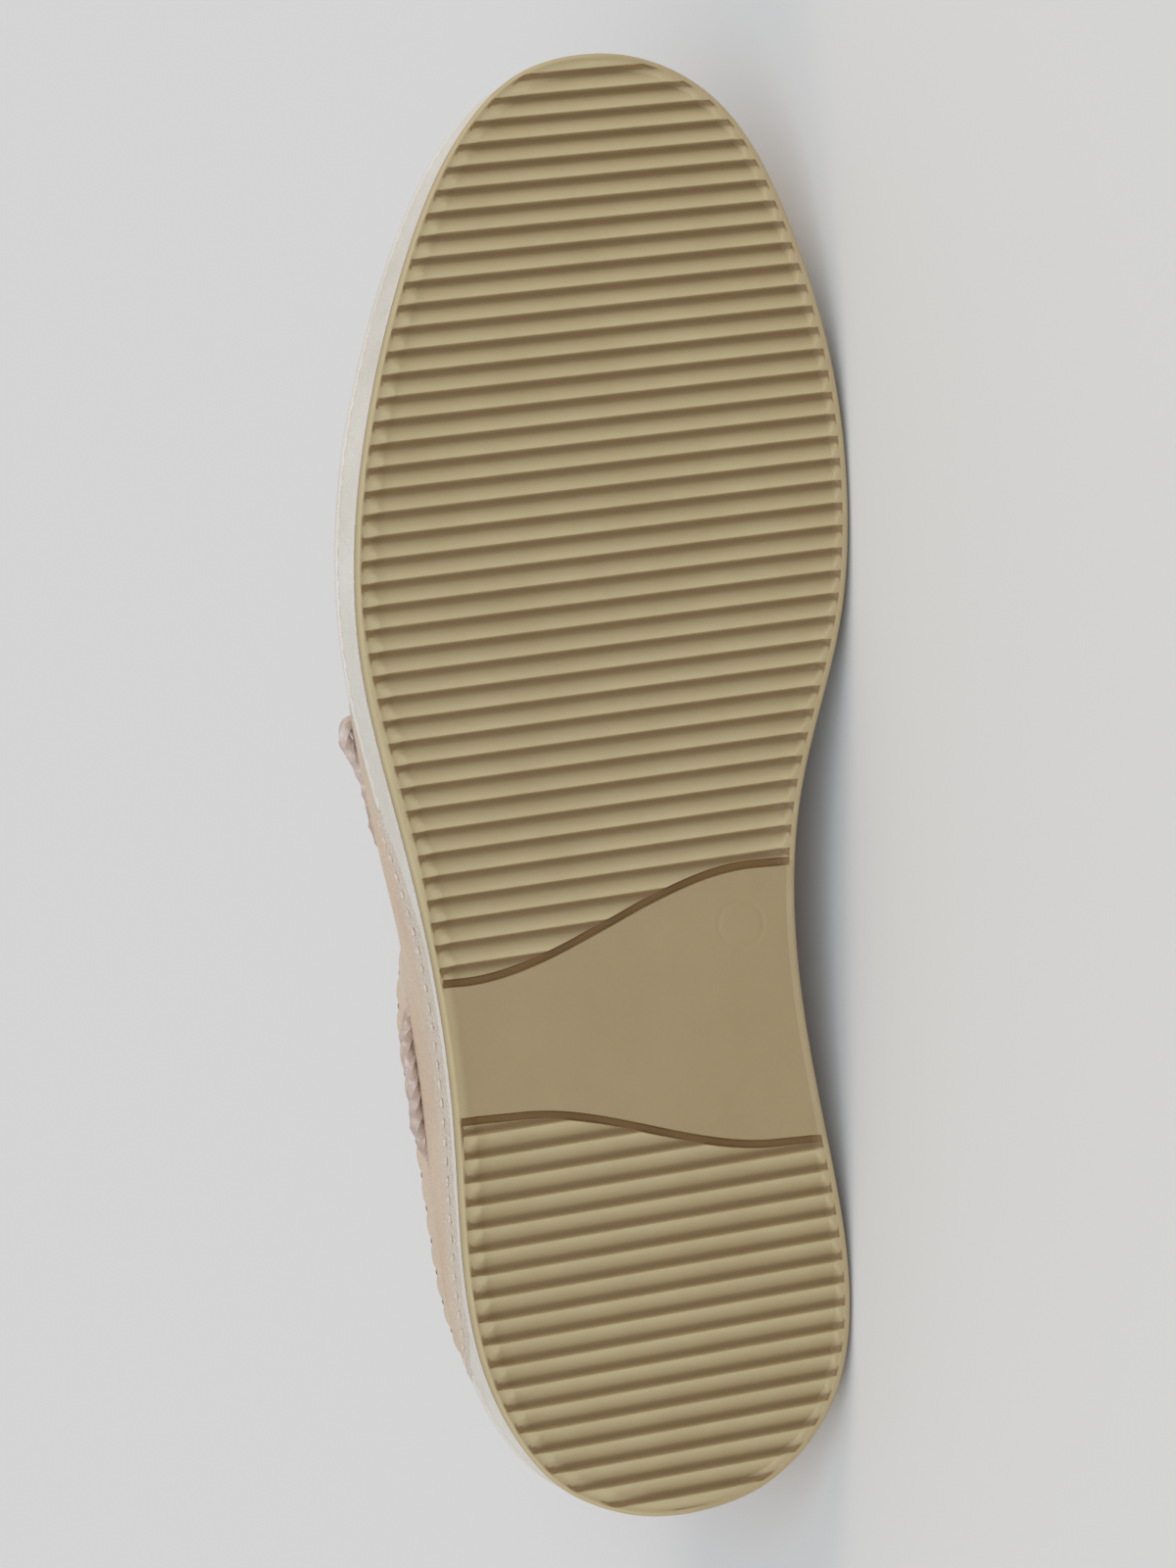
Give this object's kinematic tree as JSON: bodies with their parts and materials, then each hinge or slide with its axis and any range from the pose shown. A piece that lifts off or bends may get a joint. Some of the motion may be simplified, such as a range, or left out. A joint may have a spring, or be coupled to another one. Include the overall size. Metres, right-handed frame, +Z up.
{
  "type": "low-cut lace-up shoe",
  "caption": "Right low-cut lace-up deck shoe with a ribbed rubber outsole, a midsole, a hollow leather upper, a tongue, an insole and a tied lace, lying on its inner side.",
  "frame": {"origin": "on the floor, under the middle of the shoe's box as it lies on its inner side, its free lace left out", "axes": "+X from the heel to the toe, +Y from the tread towards the collar, +Z up from the floor to the outer side"},
  "size_m": [0.263, 0.0878, 0.0901],
  "materials": {
    "gum_rubber": "matt moulded gum",
    "white_midsole": "matt off-white",
    "blush_leather": "soft pale pink, pearly",
    "insole_leather": "plain tan",
    "lace_leather": "round, waxed, pearly",
    "eyelet_brass": "satin"
  },
  "bodies": {
    "root": {"outsole": "gum_rubber", "midsole": "white_midsole", "upper": "blush_leather", "tongue": "blush_leather", "insole": "insole_leather", "eyelet_front_inner": "eyelet_brass", "eyelet_top_inner": "eyelet_brass", "lace_strand_inner": "lace_leather", "eyelet_front_outer": "eyelet_brass", "eyelet_top_outer": "eyelet_brass", "lace_strand_outer": "lace_leather", "lace_front_bar": "lace_leather", "lace_side_outer": "lace_leather", "lace_knot": "lace_leather", "lace_loop_outer": "lace_leather", "lace_loop_inner": "lace_leather", "lace_end_outer": "lace_leather", "lace_end_inner": "lace_leather"}
  },
  "joints": []
}
